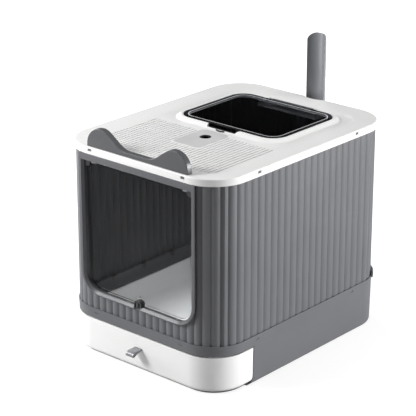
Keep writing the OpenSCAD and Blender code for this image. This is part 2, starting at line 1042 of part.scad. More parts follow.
module lip_section() {
    flat = 3;
    steps = 6;
    polygon(concat(
        [[-hatch_seat, field_under], [-hatch_seat, seat_z], [0, seat_z], [0, lip_z]],
        [
            for (i = [0:steps])
            [flat + (lip_w - flat) * i / steps, field_z + lip_h * (1 + cos(180 * i / steps)) / 2]
        ],
        [[lip_w, field_under]]
    ));
}

module cover_shell() {
    sweep_round(plan)
        rim_section();
    difference() {
        union() {
            plan_plate(plan, 2 * ledge_out + over, lid_under, lid_top);
            translate([0, field_y, 0])
                plan_plate(field_plan, field_slope + 2, field_under, field_z + over / 2);
        }
        translate([0, field_y, 0]) {
            sweep_round(field_plan)
                field_section();
            plan_plate(field_plan, cut - over, field_z, lid_top + over);
        }
        translate([0, hatch_y, 0])
            plan_plate(hatch_plan, lip_w / 3, field_under - over, lid_top + over);
    }
    translate([0, hatch_y, 0])
        sweep_round(hatch_plan)
            lip_section();
}

module recess_shape(grow) {
    half = recess_w / 2 + grow;
    polygon([
        [-half, hatch_front + hatch_seat],
        [half, hatch_front + hatch_seat],
        [half - 6, hatch_front - recess_l - grow],
        [6 - half, hatch_front - recess_l - grow]
    ]);
}

module cover_tubs() {
    translate([-pocket_w / 2 - tub_side, pocket_y0 - tub_t, pocket_z - tub_t])
        cube([pocket_w + 2 * tub_side, pocket_y1 - pocket_y0 + 2 * tub_t, field_z - pocket_z + tub_t]);
    translate([0, 0, recess_z - tub_t])
        linear_extrude(field_z - recess_z + tub_t)
            recess_shape(tub_t);
}

module cover_pockets() {
    lift = 3;
    translate([-pocket_w / 2, pocket_y0, pocket_z])
        cube([pocket_w, pocket_y1 - pocket_y0, lid_top]);
    translate([-hatch_w / 2, pocket_y0 - tub_t - over, pocket_z + lift])
        cube([hatch_w, tub_t + over + cut, lid_top]);
    translate([0, 0, recess_z])
        linear_extrude(lid_top)
            recess_shape(0);
    translate([-recess_w / 2, hatch_front + cut, recess_z])
        cube([recess_w, hatch_seat, lid_top]);
    translate([0, hinge_y, hinge_z])
        rod_x(hatch_pin_d + 2 * pin_gap, -pocket_w / 2 - 4, pocket_w / 2 + 4);
}

module cover_grooves() {
    translate([0, 0, field_z - groove_d])
        linear_extrude(2 * groove_d)
            difference() {
                for (i = [0:groove_n - 1])
                    translate([(i - (groove_n - 1) / 2) * groove_pitch - groove_w / 2, groove_y0])
                        square([groove_w, groove_y1 - groove_y0]);
                translate([0, deo_y])
                    square([deo_w + groove_pitch, deo_l + groove_pitch], center = true);
            }
}

module top_cover() {
    color(cover_white)
        difference() {
            union() {
                cover_shell();
                cover_tubs();
            }
            cover_pockets();
            cover_grooves();
            translate([0, deo_y, 0])
                plan_plate([deo_w, deo_l, deo_r], slide_gap, field_under - over, lid_top);
            catch_shape(pin_gap, field_z - seat_gap - over, lid_top + lip_h);
            snap_cuts(snap_front_x, snap_cover_z, snap_cover_h, seat_gap);
            translate([scoop_x, half_d + lid_over + notch_r - notch_deep, wall_top - over])
                cylinder(r = notch_r, h = lid_top - wall_top + 2 * over);
            for (sx = [-1, 1])
                translate([sx * ear_leg_x, ear_y + ear_t - ear_leg.y, lid_under - over])
                    linear_extrude(lid_t + 2 * over)
                        square([ear_leg.x + 2 * slide_gap, ear_leg.y + 2 * slide_gap], center = true);
        }
}

module catch_shape(grow, from, to) {
    for (side = [0, 1])
        mirror([side, 0, 0])
            translate([0, 0, from])
                linear_extrude(to - from)
                    polygon([
                        [-cut, catch_y - grow],
                        [catch_x + grow, catch_y + 2.4 - grow],
                        [catch_x + grow, catch_y + 2.4 + catch_w + grow],
                        [-cut, catch_y + catch_w + grow]
                    ]);
}

module hatch_catch() {
    color(inner_grey)
        catch_shape(0, field_z - over, field_z + 2.6);
}

module hatch_panel() {
    wall = 2.5;
    tab = [recess_w - 20, recess_l - 2.2];
    color(clear_tint)
        union() {
            translate([0, hatch_y, 0]) {
                difference() {
                    plan_plate(hatch_plan, -hatch_gap, hatch_z, lip_z);
                    plan_plate(hatch_plan, -hatch_gap - hatch_border, hatch_z - over, lip_z + over);
                }
                difference() {
                    plan_plate(hatch_plan, wall - hatch_gap - hatch_border, hatch_z - hatch_t, lip_z);
                    plan_plate(hatch_plan, -hatch_gap - hatch_border, hatch_z, lip_z + over);
                }
            }
            translate([-tab.x / 2, hatch_front + hatch_gap - tab.y, hatch_z])
                cube([tab.x, tab.y + over, hatch_t]);
        }
}

module hatch_hinge_bar() {
    leaf_inset = 8;
    leaf_w = hinge_l - 2 * leaf_inset;
    leaf_t = 2.2;
    leaf_l = 20;
    top = hatch_z - seat_gap;
    color(inner_grey)
        difference() {
            union() {
                translate([0, hinge_y, hinge_z])
                    rod_x(hinge_d, -hinge_l / 2, hinge_l / 2);
                translate([-leaf_w / 2, hinge_y - leaf_l, top - leaf_t])
                    cube([leaf_w, leaf_l, leaf_t]);
                translate([-leaf_w / 2, hinge_y - hinge_d / 2, hinge_z])
                    cube([leaf_w, hinge_d / 2, top - hinge_z]);
            }
            translate([0, hinge_y, hinge_z])
                rod_x(hatch_pin_d + 2 * pin_gap, -hinge_l, hinge_l);
        }
}

module hatch_pin() {
    color(steel_grey)
        translate([0, hinge_y, hinge_z])
            rod_x(hatch_pin_d, -pocket_w / 2 - 3.6, pocket_w / 2 + 3.6);
}

module deodoriser_cover() {
    top = field_z + 0.4;
    color(insert_grey)
        difference() {
            translate([0, deo_y, 0])
                plan_plate([deo_w, deo_l, deo_r], 0, field_under + seat_gap, top);
            translate([0, deo_hole_y, field_under])
                cylinder(d = deo_hole_d, h = lid_t + field_drop);
        }
}

module deodoriser_tray() {
    tray_plan = [deo_w, deo_l, deo_r];
    color(cover_white)
        translate([0, deo_y, 0])
            difference() {
                union() {
                    plan_plate(tray_plan, tray_lap, field_under - tray_t, field_under);
                    plan_plate(tray_plan, -tray_lap, field_under - deo_deep, field_under);
                }
                plan_plate(
                    tray_plan, -tray_lap - tray_t, field_under - deo_deep + tray_t,
                    field_under + over
                );
                for (i = [-3:3])
                    translate([0, i * vent_pitch, field_under - deo_deep - over])
                        linear_extrude(tray_t + 2 * over)
                            square([vent_l, 3], center = true);
            }
}

module carbon_cartridge() {
    gap = tray_lap + tray_t + slide_gap;
    from = field_under - deo_deep + tray_t + seat_gap;
    color(carbon_black)
        translate([0, deo_y, 0])
            difference() {
                plan_plate([deo_w, deo_l, deo_r], -gap, from, field_under - 5);
                for (i = [-3:3])
                    translate([0, i * vent_pitch, field_under - 6.4])
                        linear_extrude(3)
                            square([vent_l, 2.4], center = true);
            }
}

module ear_half() {
    r = ear_h - ear_side;
    base = [ear_w / 2, lid_top + seat_gap];
    tip = [base.x - r, lid_top + ear_side];
    valley_z = lid_top + ear_bar + ear_valley_r;
    slope_h = tip.y + (r + ear_valley_r) * cos(ear_lean) - valley_z;
    valley_x = tip.x - (r + ear_valley_r) * sin(ear_lean) - slope_h / tan(ear_lean);
    polygon(concat(
        [[0, base.y], [0, lid_top + ear_bar]],
        arc_points([valley_x, valley_z], ear_valley_r, -90, ear_lean - 90),
        arc_points(tip, r, 90 + ear_lean, 0, 14),
        [base]
    ));
}

module ear_trim() {
    color(wall_grey)
        union() {
            upright(ear_y, ear_y + ear_t) {
                ear_half();
                mirror([1, 0])
                    ear_half();
            }
            for (sx = [-1, 1])
                translate([
                    sx * ear_leg_x, ear_y + ear_t - ear_leg.y,
                    lid_top + over - ear_leg.z / 2
                ])
                    cube(ear_leg, center = true);
        }
}

// Scoop

module scoop_holder() {
    size = [
        head_w + 2 * (holder_t + 6), head_deep + 2 * (holder_t + holder_gap), holder_h
    ];
    color(wall_grey)
        translate([scoop_x, 0, 0]) {
            difference() {
                translate([-size.x / 2, holder_y, holder_z])
                    cube(size);
                translate([holder_t - size.x / 2, holder_y + holder_t, holder_z + holder_t])
                    cube([size.x - 2 * holder_t, size.y - 2 * holder_t, holder_h]);
                for (i = [-4:4])
                    translate([i * 10, holder_y + holder_t + size.y / 2, holder_z - over])
                        linear_extrude(holder_t + 2 * over)
                            square([4, size.y / 2], center = true);
            }
            for (sx = [-1, 1])
                translate([sx * peg_x, 0, peg_z])
                    rod_y(peg_d, half_d + ledge_out - 2, holder_y + over);
        }
}

module grip_outline() {
    r = grip_w * 0.32;
    top = lid_top + grip_up;
    difference() {
        union() {
            translate([-grip_w / 2, head_z + head_l - scoop_t])
                square([grip_w, top - head_z - head_l + scoop_t - r]);
            translate([r - grip_w / 2, top - 2 * r])
                square([grip_w - 2 * r, 2 * r]);
            for (sx = [-1, 1])
                translate([sx * (grip_w / 2 - r), top - r])
                    circle(r);
        }
    }
}

module scoop_grip() {
    intersection() {
        upright(grip_y, grip_y + 2 * grip_r)
            grip_outline();
        translate([0, grip_y, head_z])
            difference() {
                cylinder(r = grip_r, h = lid_top);
                translate([0, 0, -over])
                    cylinder(r = grip_r - scoop_t, h = lid_top + 2 * over);
            }
    }
}

module head_outline(inset) {
    r = head_r - inset;
    w = head_w - 2 * inset;
    translate([-w / 2, head_z + inset + r])
        square([w, head_l - 2 * inset - r]);
    translate([r - w / 2, head_z + inset])
        square([w - 2 * r, 2 * r]);
    for (sx = [-1, 1])
        translate([sx * (w / 2 - r), head_z + inset + r])
            circle(r);
}

module scoop() {
    slot_w = 5;
    slot_l = head_l * 0.62;
    color(wall_grey)
        translate([scoop_x, 0, 0]) {
            difference() {
                upright(head_y, head_y + head_deep)
                    head_outline(0);
                upright(head_y + scoop_t, head_y + head_deep + over)
                    head_outline(scoop_t);
                for (i = [-3:3])
                    upright(head_y - over, head_y + scoop_t + over) {
                        translate([i * 2 * slot_w, head_z + head_l * 0.45])
                            square([slot_w, slot_l], center = true);
                        for (end = [-1, 1])
                            translate([
                                i * 2 * slot_w, head_z + head_l * 0.45 + end * slot_l / 2
                            ])
                                circle(d = slot_w);
                    }
            }
            scoop_grip();
        }
}

base_frame();
drawer_runners();
front_panel();
left_panel();
right_panel();
back_panel();
wall_clips();
door_bezel();
flap_brackets();
top_cover();
ear_trim();
deodoriser_tray();
carbon_cartridge();
hatch_pin();
hatch_catch();
scoop_holder();
drawer_pan();
drawer_front();
drawer_pull();
flap_panel();
flap_pins();
latch_knob();
latch_cam();
latch_screw();
hatch_panel();
hatch_hinge_bar();
deodoriser_cover();
scoop();
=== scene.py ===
import bpy
import json
import math
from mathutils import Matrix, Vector

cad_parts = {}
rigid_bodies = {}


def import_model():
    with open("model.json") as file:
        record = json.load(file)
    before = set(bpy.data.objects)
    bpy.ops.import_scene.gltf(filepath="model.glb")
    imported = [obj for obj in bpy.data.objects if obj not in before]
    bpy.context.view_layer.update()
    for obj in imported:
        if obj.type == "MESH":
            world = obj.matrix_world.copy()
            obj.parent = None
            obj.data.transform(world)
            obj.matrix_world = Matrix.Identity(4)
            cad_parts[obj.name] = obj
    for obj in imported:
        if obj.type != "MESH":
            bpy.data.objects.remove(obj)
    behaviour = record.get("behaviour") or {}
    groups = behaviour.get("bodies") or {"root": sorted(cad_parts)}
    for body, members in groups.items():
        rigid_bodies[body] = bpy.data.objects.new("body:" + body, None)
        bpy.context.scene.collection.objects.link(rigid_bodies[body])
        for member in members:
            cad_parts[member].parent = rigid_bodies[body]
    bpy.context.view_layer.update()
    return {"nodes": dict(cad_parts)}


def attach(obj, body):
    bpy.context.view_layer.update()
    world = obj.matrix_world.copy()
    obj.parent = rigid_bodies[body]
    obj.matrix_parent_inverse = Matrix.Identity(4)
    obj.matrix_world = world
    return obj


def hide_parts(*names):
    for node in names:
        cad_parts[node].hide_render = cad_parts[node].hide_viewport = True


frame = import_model()
nodes = frame["nodes"]
print("frame loaded,", len(nodes), "nodes")


def deselectAll():
    if bpy.context.object and bpy.context.object.mode != "OBJECT":
        bpy.ops.object.mode_set(mode="OBJECT")
    bpy.ops.object.select_all(action="DESELECT")


def makeActive(piece):
    deselectAll()
    piece.select_set(True)
    bpy.context.view_layer.objects.active = piece


def applyAll(piece):
    makeActive(piece)
    bpy.ops.object.transform_apply(location=True, rotation=True, scale=True)


def dress(piece, material):
    piece.data.materials.clear()
    piece.data.materials.append(material)


# a camera and a lamp look along their own -Z
def turnTo(piece, towards):
    piece.rotation_euler = Vector(towards).to_track_quat("-Z", "Y").to_euler()


# the camera's place, direction and lens, as fitted to the photograph
cameraView = {
    "place": (2.0019, -2.3410, 1.4205), "towards": (-0.61614, 0.70299, -0.35521),
    "lens": 150.49, "sensor": 36, "nearest": 0.05, "farthest": 60,
}


def makeCamera(view):
    data = bpy.data.cameras.new("viewCamera")
    data.lens = view["lens"]
    data.sensor_width = view["sensor"]
    data.clip_start = view["nearest"]
    data.clip_end = view["farthest"]
    camera = bpy.data.objects.new("viewCamera", data)
    bpy.context.collection.objects.link(camera)
    camera.location = view["place"]
    turnTo(camera, view["towards"])
    bpy.context.scene.camera = camera


makeCamera(cameraView)
print("camera set")

# detail and roughness of the noises, from soft to fine
noises = {
    "wave": (2, 0.55), "cloud": (3, 0.55), "brushed": (4, 0.55),
    "streak": (5, 0.6), "grain": (6, 0.6),
}
beyondAll = 9  # metres, farther out than any face


def opaque(colour):
    return (*colour, 1)


def grey(level):
    return (level, level, level, 1)


class Finish:
    # the shader nodes of a material or of the air; most steps add one node and give its output
    def __init__(self, owner):
        owner.use_nodes = True
        self.owner = owner
        self.tree = owner.node_tree
        self.shader = self.tree.nodes.get("Principled BSDF")

    def add(self, kind, **values):
        node = self.tree.nodes.new(kind)
        for key, value in values.items():
            setattr(node, key, value)
        return node

    # joins another node's output to an input, or sets a number or colour on it
    def feed(self, node, into, value):
        if isinstance(value, bpy.types.NodeSocket):
            self.tree.links.new(value, node.inputs[into])
        else:
            node.inputs[into].default_value = value

    # the place on the object in metres, which moves with its piece
    def place(self, scale=(1, 1, 1)):
        mapping = self.add("ShaderNodeMapping")
        self.feed(mapping, "Vector", self.add("ShaderNodeTexCoord").outputs["Object"])
        self.feed(mapping, "Scale", scale)
        return mapping.outputs["Vector"]

    def noise(self, kind, place, scale):
        node = self.add("ShaderNodeTexNoise")
        detail, roughness = noises[kind]
        self.feed(node, "Vector", place)
        self.feed(node, "Scale", scale)
        self.feed(node, "Detail", detail)
        self.feed(node, "Roughness", roughness)
        return node.outputs["Fac"]

    # what runs from start to end in the source comes out from low to high
    def spread(self, source, low, high, start=0.35, end=0.65):
        node = self.add("ShaderNodeMapRange")
        self.feed(node, "Value", source)
        self.feed(node, "From Min", start)
        self.feed(node, "From Max", end)
        self.feed(node, "To Min", low)
        self.feed(node, "To Max", high)
        return node.outputs["Result"]

    def number(self, operation, *values):
        node = self.add("ShaderNodeMath", operation=operation)
        for into, value in enumerate(values):
            self.feed(node, into, value)
        return node.outputs["Value"]

    def vector(self, operation, *values):
        node = self.add("ShaderNodeVectorMath", operation=operation)
        for into, value in enumerate(values):
            self.feed(node, into, value)
        givesNumber = operation in ("LENGTH", "DOT_PRODUCT")
        return node.outputs["Value" if givesNumber else "Vector"]

    # a colour mix has its share on input 0, its two colours on 6 and 7, and gives output 2
    def blend(self, share, first, second, mode="MIX"):
        node = self.add("ShaderNodeMix", data_type="RGBA", blend_type=mode)
        self.feed(node, 0, share)
        self.feed(node, 6, first)
        self.feed(node, 7, second)
        return node.outputs[2]

    def relief(self, height, strength, depth):
        node = self.add("ShaderNodeBump")
        self.feed(node, "Height", height)
        self.feed(node, "Strength", strength)
        self.feed(node, "Distance", depth)
        return node.outputs["Normal"]


# paints shade: darkens what lies in a box, which stands in the object's frame
def shadeBox(made, before, shade):
    split = made.add("ShaderNodeSeparateXYZ")
    made.feed(split, "Vector", made.place())
    near = [
        made.number("COMPARE", split.outputs[axis], middle, half)
        for axis, middle, half in zip("XYZ", shade["middle"], shade["half"])
    ]
    inside = made.number("MULTIPLY", made.number("MULTIPLY", near[0], near[1]), near[2])
    return made.blend(inside, before, grey(shade["factor"]), "MULTIPLY")


# finds where the painted shade of the inside goes: the faces that look towards the box's
# middle, and the ledge that the walls stand on
def innerFaces(made, inner):
    place = made.place()
    across, along = inner["core"]
    nearest = made.vector("MAXIMUM", place, (-across, -along, -beyondAll))
    nearest = made.vector("MINIMUM", nearest, (across, along, beyondAll))
    outwards = made.vector("SUBTRACT", place, nearest)
    normal = made.add("ShaderNodeTexCoord").outputs["Normal"]
    facing = made.vector("DOT_PRODUCT", outwards, normal)
    inwards = made.number("LESS_THAN", facing, inner["facing"])
    split = made.add("ShaderNodeSeparateXYZ")
    made.feed(split, "Vector", place)
    onLedge = made.number(
        "MULTIPLY",
        made.number("LESS_THAN", made.vector("LENGTH", outwards), inner["ledgeReach"]),
        made.number("COMPARE", split.outputs["Z"], inner["ledgeMiddle"], inner["ledgeHalf"]),
    )
    return made.number("MAXIMUM", inwards, onLedge)


def mouldedPlastic(name, look):
    made = Finish(bpy.data.materials.new(name))
    place = made.place()
    cloud = made.noise("cloud", place, look["cloudScale"])
    grain = made.noise("grain", place, look["grainScale"])
    flow = made.noise("streak", made.place(look["draw"]), look["flowScale"])
    # slow colour drift, as a moulding cools unevenly
    drift = made.spread(cloud, 0.0, 1.0)
    colour = made.blend(drift, opaque(look["colour"]), opaque(look["colourLight"]))
    # handling marks: faint streaks along the draw
    marks = made.spread(flow, 0.0, look["marks"], look["marksFrom"], look["marksTo"])
    colour = made.blend(marks, colour, opaque(look["colourWorn"]))
    # painted shade: the box that the look gives is darkened
    if "shade" in look:
        colour = shadeBox(made, colour, look["shade"])
    # painted shade: the inner faces and the ledge are darkened, and their gloss is lowered
    if "inner" in look:
        inner = innerFaces(made, look["inner"])
        colour = made.blend(inner, colour, grey(look["inner"]["factor"]), "MULTIPLY")
        gloss = made.spread(inner, look["gloss"], look["inner"]["gloss"], 0, 1)
        made.feed(made.shader, "Specular IOR Level", gloss)
    made.feed(made.shader, "Base Color", colour)
    rough = made.spread(grain, look["roughLow"], look["roughHigh"])
    made.feed(made.shader, "Roughness", made.number("ADD", rough, marks))
    made.feed(made.shader, "Normal", made.relief(grain, look["bump"], look["bumpDepth"]))
    made.shader.inputs["IOR"].default_value = look["ior"]
    made.shader.inputs["Coat Weight"].default_value = look["coat"]
    made.shader.inputs["Coat Roughness"].default_value = look["coatRough"]
    return made.owner


# what all the moulded plastics start from: streaks run along Z, the way the moulds open
plasticLook = {
    "draw": (1, 1, 0.12), "marksFrom": 0.58, "marksTo": 0.8,
    "ior": 1.5, "coat": 0.0, "coatRough": 0.2,
}
shellLook = dict(
    plasticLook,
    colour=(0.122, 0.125, 0.134), colourLight=(0.136, 0.139, 0.148),
    colourWorn=(0.22, 0.22, 0.23), marks=0.12,
    cloudScale=7.0, grainScale=1400.0, flowScale=60.0,
    roughLow=0.34, roughHigh=0.44, bump=0.12, bumpDepth=0.0002, gloss=0.5,
    # painted shade: the inside is darkened and its gloss lowered, on faces that look back at a
    # core in the box's middle, and on the ledge, by its distance from the core and its height
    inner={
        "core": (0.122, 0.181), "facing": -0.004, "factor": 0.5, "gloss": 0.1,
        "ledgeReach": 0.0595, "ledgeMiddle": 0.063, "ledgeHalf": 0.0405,
    },
)
trimLook = dict(
    plasticLook,
    colour=(0.105, 0.107, 0.115), colourLight=(0.118, 0.120, 0.128),
    colourWorn=(0.18, 0.18, 0.19), marks=0.06,
    cloudScale=9.0, grainScale=1800.0, flowScale=80.0,
    roughLow=0.24, roughHigh=0.32, bump=0.05, bumpDepth=0.0001,
    ior=1.4, coat=0.04, coatRough=0.12,
)
earLook = dict(
    trimLook,
    colour=(0.080, 0.082, 0.088), colourLight=(0.092, 0.094, 0.100),
)
darkLook = dict(
    trimLook,
    colour=(0.022, 0.022, 0.024), colourLight=(0.032, 0.032, 0.034), marks=0.04,
)
whiteLook = dict(
    plasticLook,
    colour=(0.77, 0.77, 0.765), colourLight=(0.80, 0.80, 0.795),
    colourWorn=(0.70, 0.70, 0.69), marks=0.05,
    cloudScale=5.0, grainScale=1500.0, flowScale=50.0,
    roughLow=0.26, roughHigh=0.36, bump=0.08, bumpDepth=0.00015,
)
coverLook = dict(
    whiteLook,
    # painted shade on the floors of the fine grooves
    shade={"middle": (0, -0.1255, 0.4072), "half": (0.147, 0.0845, 0.0006), "factor": 0.55},
)
hingeLook = dict(
    whiteLook,
    # painted shade: the barrel is darkened where it sits down in the hinge pocket, while its
    # leaf stays pale
    shade={"middle": (0, 0.1935, 0.405), "half": (0.07, 0.0075, 0.007), "factor": 0.06},
)
panLook = dict(
    whiteLook,
    colour=(0.82, 0.82, 0.815), colourLight=(0.85, 0.85, 0.845),
)
insertLook = dict(
    plasticLook,
    colour=(0.50, 0.50, 0.505), colourLight=(0.55, 0.55, 0.555),
    colourWorn=(0.62, 0.62, 0.62), marks=0.08,
    cloudScale=12.0, grainScale=1600.0, flowScale=90.0,
    roughLow=0.36, roughHigh=0.48, bump=0.14, bumpDepth=0.0002, ior=1.49,
    # painted shade on the wall of the round hole
    shade={"middle": (0, -0.064, 0.404), "half": (0.0113, 0.0113, 0.0044), "factor": 0.12},
)
scoopLook = dict(
    plasticLook,
    colour=(0.212, 0.217, 0.231), colourLight=(0.230, 0.235, 0.249),
    colourWorn=(0.30, 0.30, 0.31), marks=0.1,
    cloudScale=9.0, grainScale=1600.0, flowScale=70.0,
    roughLow=0.22, roughHigh=0.32, bump=0.07, bumpDepth=0.0001,
    coat=0.1, coatRough=0.1,
)
carbonLook = dict(
    plasticLook,
    colour=(0.010, 0.010, 0.010), colourLight=(0.03, 0.03, 0.03),
    colourWorn=(0.05, 0.05, 0.05), marks=0.3,
    cloudScale=300.0, grainScale=900.0, flowScale=400.0,
    roughLow=0.8, roughHigh=0.95, bump=0.8, bumpDepth=0.0008, ior=1.4,
)


# finds the moulded step round the hatch's field, a rounded rectangle at one reach from its
# core, where a highlight is painted
def stepBand(made, step):
    centred = made.vector("SUBTRACT", made.place(), (*step["middle"], 0))
    folded = made.vector("ABSOLUTE", centred)
    beyond = made.vector("SUBTRACT", folded, (*step["core"], beyondAll))
    outside = made.vector("MAXIMUM", beyond, (0, 0, 0))
    return made.number("COMPARE", made.vector("LENGTH", outside), step["reach"], step["half"])


def clearPlastic(name, look):
    made = Finish(bpy.data.materials.new(name))
    wave = made.noise("wave", made.place(), look["waveScale"])
    smear = made.noise("streak", made.place(look["wiped"]), look["smearScale"])
    drift = made.spread(wave, 0.0, 1.0)
    colour = made.blend(drift, opaque(look["tint"]), opaque(look["tintDeep"]))
    through = 1.0
    if "step" in look:
        # painted highlight: the step is coloured pale and lets less through, as if it caught
        # the light
        step = stepBand(made, look["step"])
        colour = made.blend(step, colour, opaque(look["step"]["colour"]))
        through = made.spread(step, through, look["step"]["through"], 0, 1)
    made.feed(made.shader, "Base Color", colour)
    made.feed(made.shader, "Transmission Weight", through)
    rough = made.spread(
        smear, look["roughLow"], look["roughHigh"], look["smearFrom"], look["smearTo"],
    )
    made.feed(made.shader, "Roughness", rough)
    made.feed(made.shader, "Coat Normal", made.relief(wave, look["wave"], look["waveDepth"]))
    made.shader.inputs["IOR"].default_value = look["ior"]
    made.shader.inputs["Coat Weight"].default_value = look["coat"]
    made.shader.inputs["Coat IOR"].default_value = look["coatIor"]
    made.shader.inputs["Coat Roughness"].default_value = look["coatRough"]
    return made.owner


clearLook = {
    "tint": (0.90, 0.915, 0.93), "tintDeep": (0.86, 0.88, 0.90),
    "ior": 1.06, "coat": 0.15, "coatIor": 1.45, "coatRough": 0.02,
    "wiped": (1, 1, 0.3), "smearScale": 40.0, "smearFrom": 0.45, "smearTo": 0.7,
    "roughLow": 0.0, "roughHigh": 0.015,
    "waveScale": 5.0, "wave": 0.02, "waveDepth": 0.001,
}
smokyLook = dict(
    clearLook,
    tint=(0.19, 0.195, 0.21), tintDeep=(0.16, 0.165, 0.18), ior=1.03, coat=0.0,
    # painted highlight along the step round the field
    step={
        "middle": (0, 0.0865), "core": (0.088, 0.0635), "reach": 0.0234, "half": 0.0009,
        "colour": (0.85, 0.86, 0.87), "through": 0.35,
    },
)


def drawnSteel(name, look):
    made = Finish(bpy.data.materials.new(name))
    brushed = made.noise("brushed", made.place(look["drawn"]), look["brushScale"])
    rough = made.spread(brushed, look["roughLow"], look["roughHigh"])
    made.feed(made.shader, "Roughness", rough)
    made.feed(made.shader, "Normal", made.relief(brushed, look["bump"], look["bumpDepth"]))
    made.shader.inputs["Base Color"].default_value = opaque(look["colour"])
    made.shader.inputs["Metallic"].default_value = 1.0
    return made.owner


steelLook = {
    "colour": (0.46, 0.46, 0.47), "roughLow": 0.25, "roughHigh": 0.4,
    "drawn": (0.05, 1, 1), "brushScale": 2600.0, "bump": 0.2, "bumpDepth": 0.0001,
}

shellPlastic = mouldedPlastic("shellPlastic", shellLook)
trimPlastic = mouldedPlastic("trimPlastic", trimLook)
coverPlastic = mouldedPlastic("coverPlastic", coverLook)
panPlastic = mouldedPlastic("panPlastic", panLook)
insertPlastic = mouldedPlastic("insertPlastic", insertLook)
scoopPlastic = mouldedPlastic("scoopPlastic", scoopLook)
carbonBlock = mouldedPlastic("carbonBlock", carbonLook)
darkPlastic = mouldedPlastic("darkPlastic", darkLook)
earPlastic = mouldedPlastic("earPlastic", earLook)
hingePlastic = mouldedPlastic("hingePlastic", hingeLook)
clearSheet = clearPlastic("clearSheet", clearLook)
smokySheet = clearPlastic("smokySheet", smokyLook)
pinSteel = drawnSteel("pinSteel", steelLook)
print("materials made")


# a merged copy of a CAD node, with its sharp edges rounded
def moulding(node, name, material, edges):
    makeActive(nodes[node])
    bpy.ops.object.duplicate()
    piece = bpy.context.view_layer.objects.active
    piece.name = name
    bpy.ops.object.parent_clear(type="CLEAR_KEEP_TRANSFORM")
    bpy.ops.mesh.customdata_custom_splitnormals_clear()
    bpy.ops.object.mode_set(mode="EDIT")
    bpy.ops.mesh.select_all(action="SELECT")
    bpy.ops.mesh.remove_doubles(threshold=edges["merge"])
    bpy.ops.mesh.dissolve_limited(angle_limit=math.radians(edges["flat"]))
    bpy.ops.object.mode_set(mode="OBJECT")
    applyAll(piece)
    if edges["round"] > 0:
        bevel = piece.modifiers.new("edges", "BEVEL")
        bevel.width = edges["round"]
        bevel.segments = edges["segments"]
        bevel.limit_method = "ANGLE"
        bevel.angle_limit = math.radians(edges["above"])
        bevel.use_clamp_overlap = True
        bpy.ops.object.modifier_apply(modifier="edges")
    bpy.ops.object.shade_smooth_by_angle(angle=math.radians(edges["smooth"]))
    even = piece.modifiers.new("flats", "WEIGHTED_NORMAL")
    even.keep_sharp = True
    even.weight = edges["flatWeight"]
    bpy.ops.object.modifier_apply(modifier="flats")
    dress(piece, material)
    return piece


# what all edges start from, in metres and degrees: those sharper than above are rounded
plainEdges = {
    "merge": 0.00001, "flat": 0.3, "segments": 2, "above": 40, "smooth": 35, "flatWeight": 80,
}
wallEdges = dict(plainEdges, round=0.0, smooth=30)
baseEdges = dict(plainEdges, round=0.0006)
coverEdges = dict(plainEdges, round=0.0005)
bezelEdges = dict(plainEdges, round=0.0008)
trimEdges = dict(plainEdges, round=0.0011, segments=3, above=45)
drawerEdges = dict(plainEdges, round=0.0006)
sheetEdges = dict(plainEdges, round=0.0004)
scoopEdges = dict(plainEdges, round=0.0008, segments=3)
smallEdges = dict(plainEdges, round=0.0004, smooth=40)

# the mouldings on each body: CAD node, piece, slot, material and edges
mouldings = {
    "body": [
        ("front_panel", "frontWall", "grey_shell", shellPlastic, wallEdges),
        ("left_panel", "leftWall", "grey_shell", shellPlastic, wallEdges),
        ("right_panel", "rightWall", "grey_shell", shellPlastic, wallEdges),
        ("back_panel", "backWall", "grey_shell", shellPlastic, wallEdges),
        ("base_frame", "baseShell", "grey_shell", shellPlastic, baseEdges),
        # painted shade: the ledge clips, of the shell's grey plastic, are given the dark
        # plastic to stand in for the shade round them
        ("wall_clips", "ledgeClips", "grey_shell", darkPlastic, smallEdges),
        ("door_bezel", "doorBezel", "grey_gloss", trimPlastic, bezelEdges),
        ("flap_brackets", "flapBrackets", "grey_gloss", darkPlastic, smallEdges),
        ("top_cover", "topCover", "white_cover", coverPlastic, coverEdges),
        ("ear_trim", "earTrim", "grey_gloss", earPlastic, trimEdges),
        ("hatch_catch", "hatchCatch", "grey_gloss", darkPlastic, smallEdges),
        ("scoop_holder", "scoopHolder", "grey_shell", shellPlastic, smallEdges),
        ("deodoriser_tray", "insertTray", "white_cover", coverPlastic, smallEdges),
    ],
    "drawer": [
        ("drawer_front", "drawerFront", "white_cover", panPlastic, drawerEdges),
        ("drawer_pan", "litterPan", "white_cover", panPlastic, drawerEdges),
        ("drawer_pull", "drawerPull", "grey_gloss", scoopPlastic, trimEdges),
    ],
    "flap": [
        ("flap_panel", "swingFlap", "clear_plastic", clearSheet, sheetEdges),
    ],
    "latch": [
        ("latch_knob", "latchKnob", "grey_gloss", trimPlastic, smallEdges),
        ("latch_cam", "latchCam", "grey_shell", shellPlastic, smallEdges),
    ],
    "hatch": [
        ("hatch_panel", "topHatch", "clear_plastic", smokySheet, sheetEdges),
        ("hatch_hinge_bar", "hatchBarrel", "grey_gloss", hingePlastic, smallEdges),
    ],
    "insert": [
        ("deodoriser_cover", "insertCover", "pale_insert", insertPlastic, smallEdges),
    ],
    "scoop": [
        ("scoop", "litterScoop", "grey_gloss", scoopPlastic, scoopEdges),
    ],
}

for body, rows in mouldings.items():
    for node, name, slot, material, edges in rows:
        piece = moulding(node, name, material, edges)
        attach(piece, body)
        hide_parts(node)
    print(len(rows), "made on", body)

# these keep their CAD shapes
plainNodes = {
    "drawer_runners": shellPlastic, "carbon_cartridge": carbonBlock,
    "hatch_pin": pinSteel, "flap_pins": pinSteel, "latch_screw": pinSteel,
}
for node, material in plainNodes.items():
    dress(nodes[node], material)
print("plain nodes dressed")

floorLook = {
    "size": 24.0, "drop": 0.0004, "fleckScale": 60.0,
    "colour": (0.40, 0.40, 0.40), "fleck": (0.43, 0.43, 0.43),
    "lift": 0.7, "liftFar": 1.0, "liftFrom": 0.4, "liftTo": 1.4,
}


